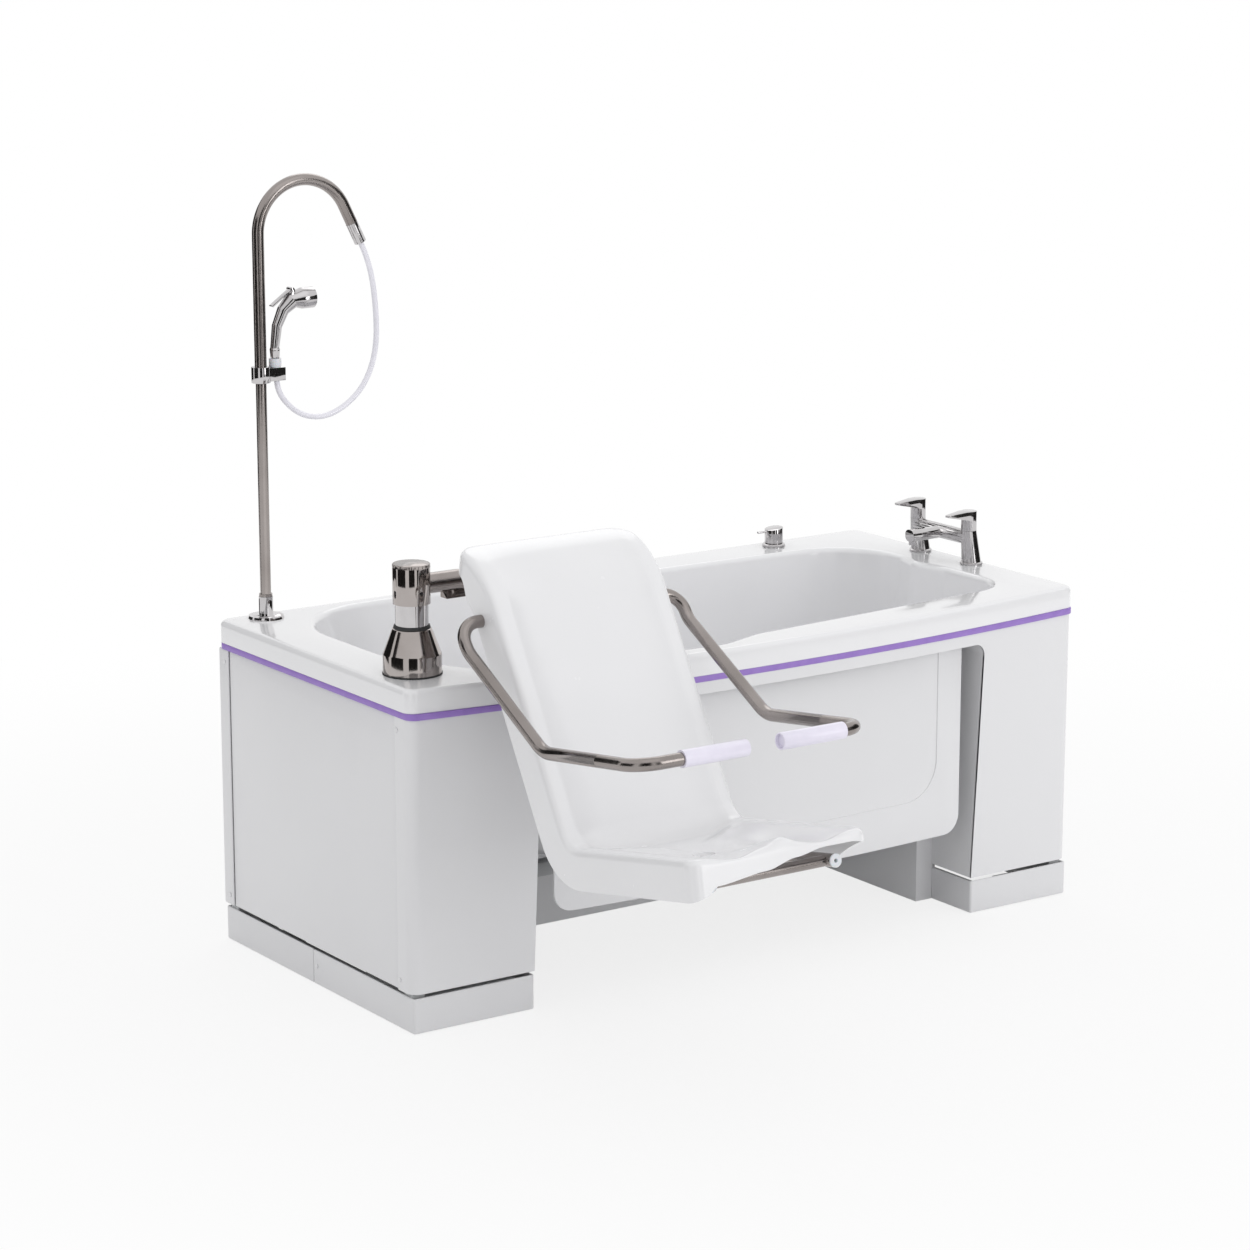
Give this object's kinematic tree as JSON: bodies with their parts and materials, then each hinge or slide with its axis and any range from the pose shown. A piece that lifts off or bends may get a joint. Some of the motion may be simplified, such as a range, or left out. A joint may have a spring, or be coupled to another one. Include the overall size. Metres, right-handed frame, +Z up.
{
  "type": "assisted bath",
  "caption": "Assisted bath with raised basin, panelled base, powered column lift, swivelling transfer seat with flip-up armrests, pillar mixer taps and a shower riser.",
  "frame": {"origin": "on the floor under the middle of the bath body, at the centre of the four floor bolt holes", "axes": "+X along the bath towards the taps, -Y towards the side where the bather sits down, +Z up"},
  "size_m": [1.7, 1.5615, 1.6237],
  "materials": {
    "white_shell": "glossy moulded bath shell",
    "white_panel": "glossy moulded panel",
    "white_seat": "satin moulded seat",
    "purple_strip": "coloured trim strip",
    "white_kick": "satin kick plate",
    "white_plastic": "small moulded plastic piece",
    "frame_paint": "grey powder coat on steel",
    "stainless": "polished stainless tube",
    "chrome": "bright chrome plate",
    "bearing_nylon": "natural nylon",
    "black_rubber": "black rubber",
    "actuator_body": "anodised",
    "lilac_vinyl": "soft clear vinyl sleeve",
    "clear_hose": "smooth white hose"
  },
  "bodies": {
    "bath": {"tub_shell": "white_shell", "rim_strip": "purple_strip", "front_surround": "white_panel", "front_apron": "white_panel", "left_end_panel": "white_panel", "right_end_panel": "white_panel", "rear_corner_covers": "white_panel", "back_panel": "white_panel", "alcove_liner": "white_panel", "left_front_kick": "white_kick", "right_front_kick": "white_kick", "rear_kicks": "white_kick", "left_end_frame": "frame_paint", "right_end_frame": "frame_paint", "tub_rails": "frame_paint", "levelling_feet": "black_rubber", "floor_plates": "frame_paint", "column_tube": "stainless", "guide_bush": "bearing_nylon", "column_gasket": "black_rubber", "column_bell": "chrome", "column_seal": "black_rubber", "lift_actuator": "actuator_body", "panel_screws": "white_plastic", "riser_flange": "chrome", "deck_backnuts": "chrome", "mixer_body": "chrome", "mixer_spout": "chrome", "tap_base_discs": "chrome", "knob_base": "chrome", "waste_flange": "chrome", "waste_trap": "white_plastic"},
    "lift": {"lift_tube": "chrome"},
    "seat": {"arm_collar": "chrome", "collar_cap": "chrome", "collar_screws": "stainless", "support_arm": "stainless", "arm_gusset": "stainless", "seat_frame": "stainless", "frame_caps": "white_plastic", "seat_shell": "white_seat"},
    "left_armrest": {"left_arm_tube": "stainless"},
    "left_grip": {"left_grip_tube": "stainless", "left_grip_sleeve": "lilac_vinyl"},
    "right_armrest": {"right_arm_tube": "stainless"},
    "right_grip": {"right_grip_tube": "stainless", "right_grip_sleeve": "lilac_vinyl"},
    "riser_post": {"riser_lower_tube": "stainless"},
    "riser_head": {"riser_clamp": "chrome", "riser_upper_tube": "stainless", "hose_fitting": "chrome", "shower_hose": "clear_hose", "hose_holder": "white_plastic", "handset_body": "chrome"},
    "spray_trigger": {"handset_trigger": "chrome"},
    "hot_tap": {"hot_lever": "chrome"},
    "cold_tap": {"cold_lever": "chrome"},
    "waste_control": {"waste_knob": "chrome"},
    "plug": {"waste_plug": "chrome"}
  },
  "joints": [
    {"name": "lift_rise", "type": "slide", "parent": "bath", "child": "lift", "axis": [0, 0, 1], "range_m": [0, 0.4]},
    {"name": "seat_swivel", "type": "hinge", "parent": "lift", "child": "seat", "pos_m": [-0.764, -0.261, 0.876], "axis": [0, 0, 1], "range_deg": [-90, 0]},
    {"name": "left_armrest_flip", "type": "hinge", "parent": "seat", "child": "left_armrest", "pos_m": [-0.71, -0.47, 0.84], "axis": [-1, 0, 0], "range_deg": [0, 100]},
    {"name": "left_grip_turn", "type": "hinge", "parent": "left_armrest", "child": "left_grip", "pos_m": [-0.787, -0.95, 0.67565], "axis": [0, -0.9911, 0.1328], "range_deg": [0, 90]},
    {"name": "right_armrest_flip", "type": "hinge", "parent": "seat", "child": "right_armrest", "pos_m": [-0.36, -0.47, 0.84], "axis": [-1, 0, 0], "range_deg": [0, 100]},
    {"name": "right_grip_turn", "type": "hinge", "parent": "right_armrest", "child": "right_grip", "pos_m": [-0.273, -0.95, 0.67565], "axis": [0, 0.9911, -0.1328], "range_deg": [0, 90]},
    {"name": "riser_swivel", "type": "hinge", "parent": "bath", "child": "riser_post", "pos_m": [-0.758, 0.338, 0.72], "axis": [0, 0, 1], "range_deg": [-90, 30]},
    {"name": "riser_height", "type": "slide", "parent": "riser_post", "child": "riser_head", "axis": [0, 0, 1], "range_m": [-0.06, 0.12]},
    {"name": "trigger_press", "type": "hinge", "parent": "riser_head", "child": "spray_trigger", "pos_m": [-0.684, 0.338, 1.387], "axis": [0, -1, 0], "range_deg": [0, 8], "stiffness_Nm_per_rad": 0.5, "springref_deg": -5.73},
    {"name": "hot_turn", "type": "hinge", "parent": "bath", "child": "hot_tap", "pos_m": [0.803, 0.102, 0.79], "axis": [0, 0, 1], "range_deg": [0, 90]},
    {"name": "cold_turn", "type": "hinge", "parent": "bath", "child": "cold_tap", "pos_m": [0.803, -0.078, 0.79], "axis": [0, 0, -1], "range_deg": [0, 90]},
    {"name": "waste_turn", "type": "hinge", "parent": "bath", "child": "waste_control", "pos_m": [0.566, 0.332, 0.72], "axis": [0, 0, 1], "range_deg": [0, 90]},
    {"name": "plug_lift", "type": "slide", "parent": "bath", "child": "plug", "axis": [0, 0, 1], "range_m": [0, 0.01]}
  ],
  "couplings": [
    {"joint": "plug_lift", "follows": "waste_turn", "m_per_rad": 0.00636}
  ]
}
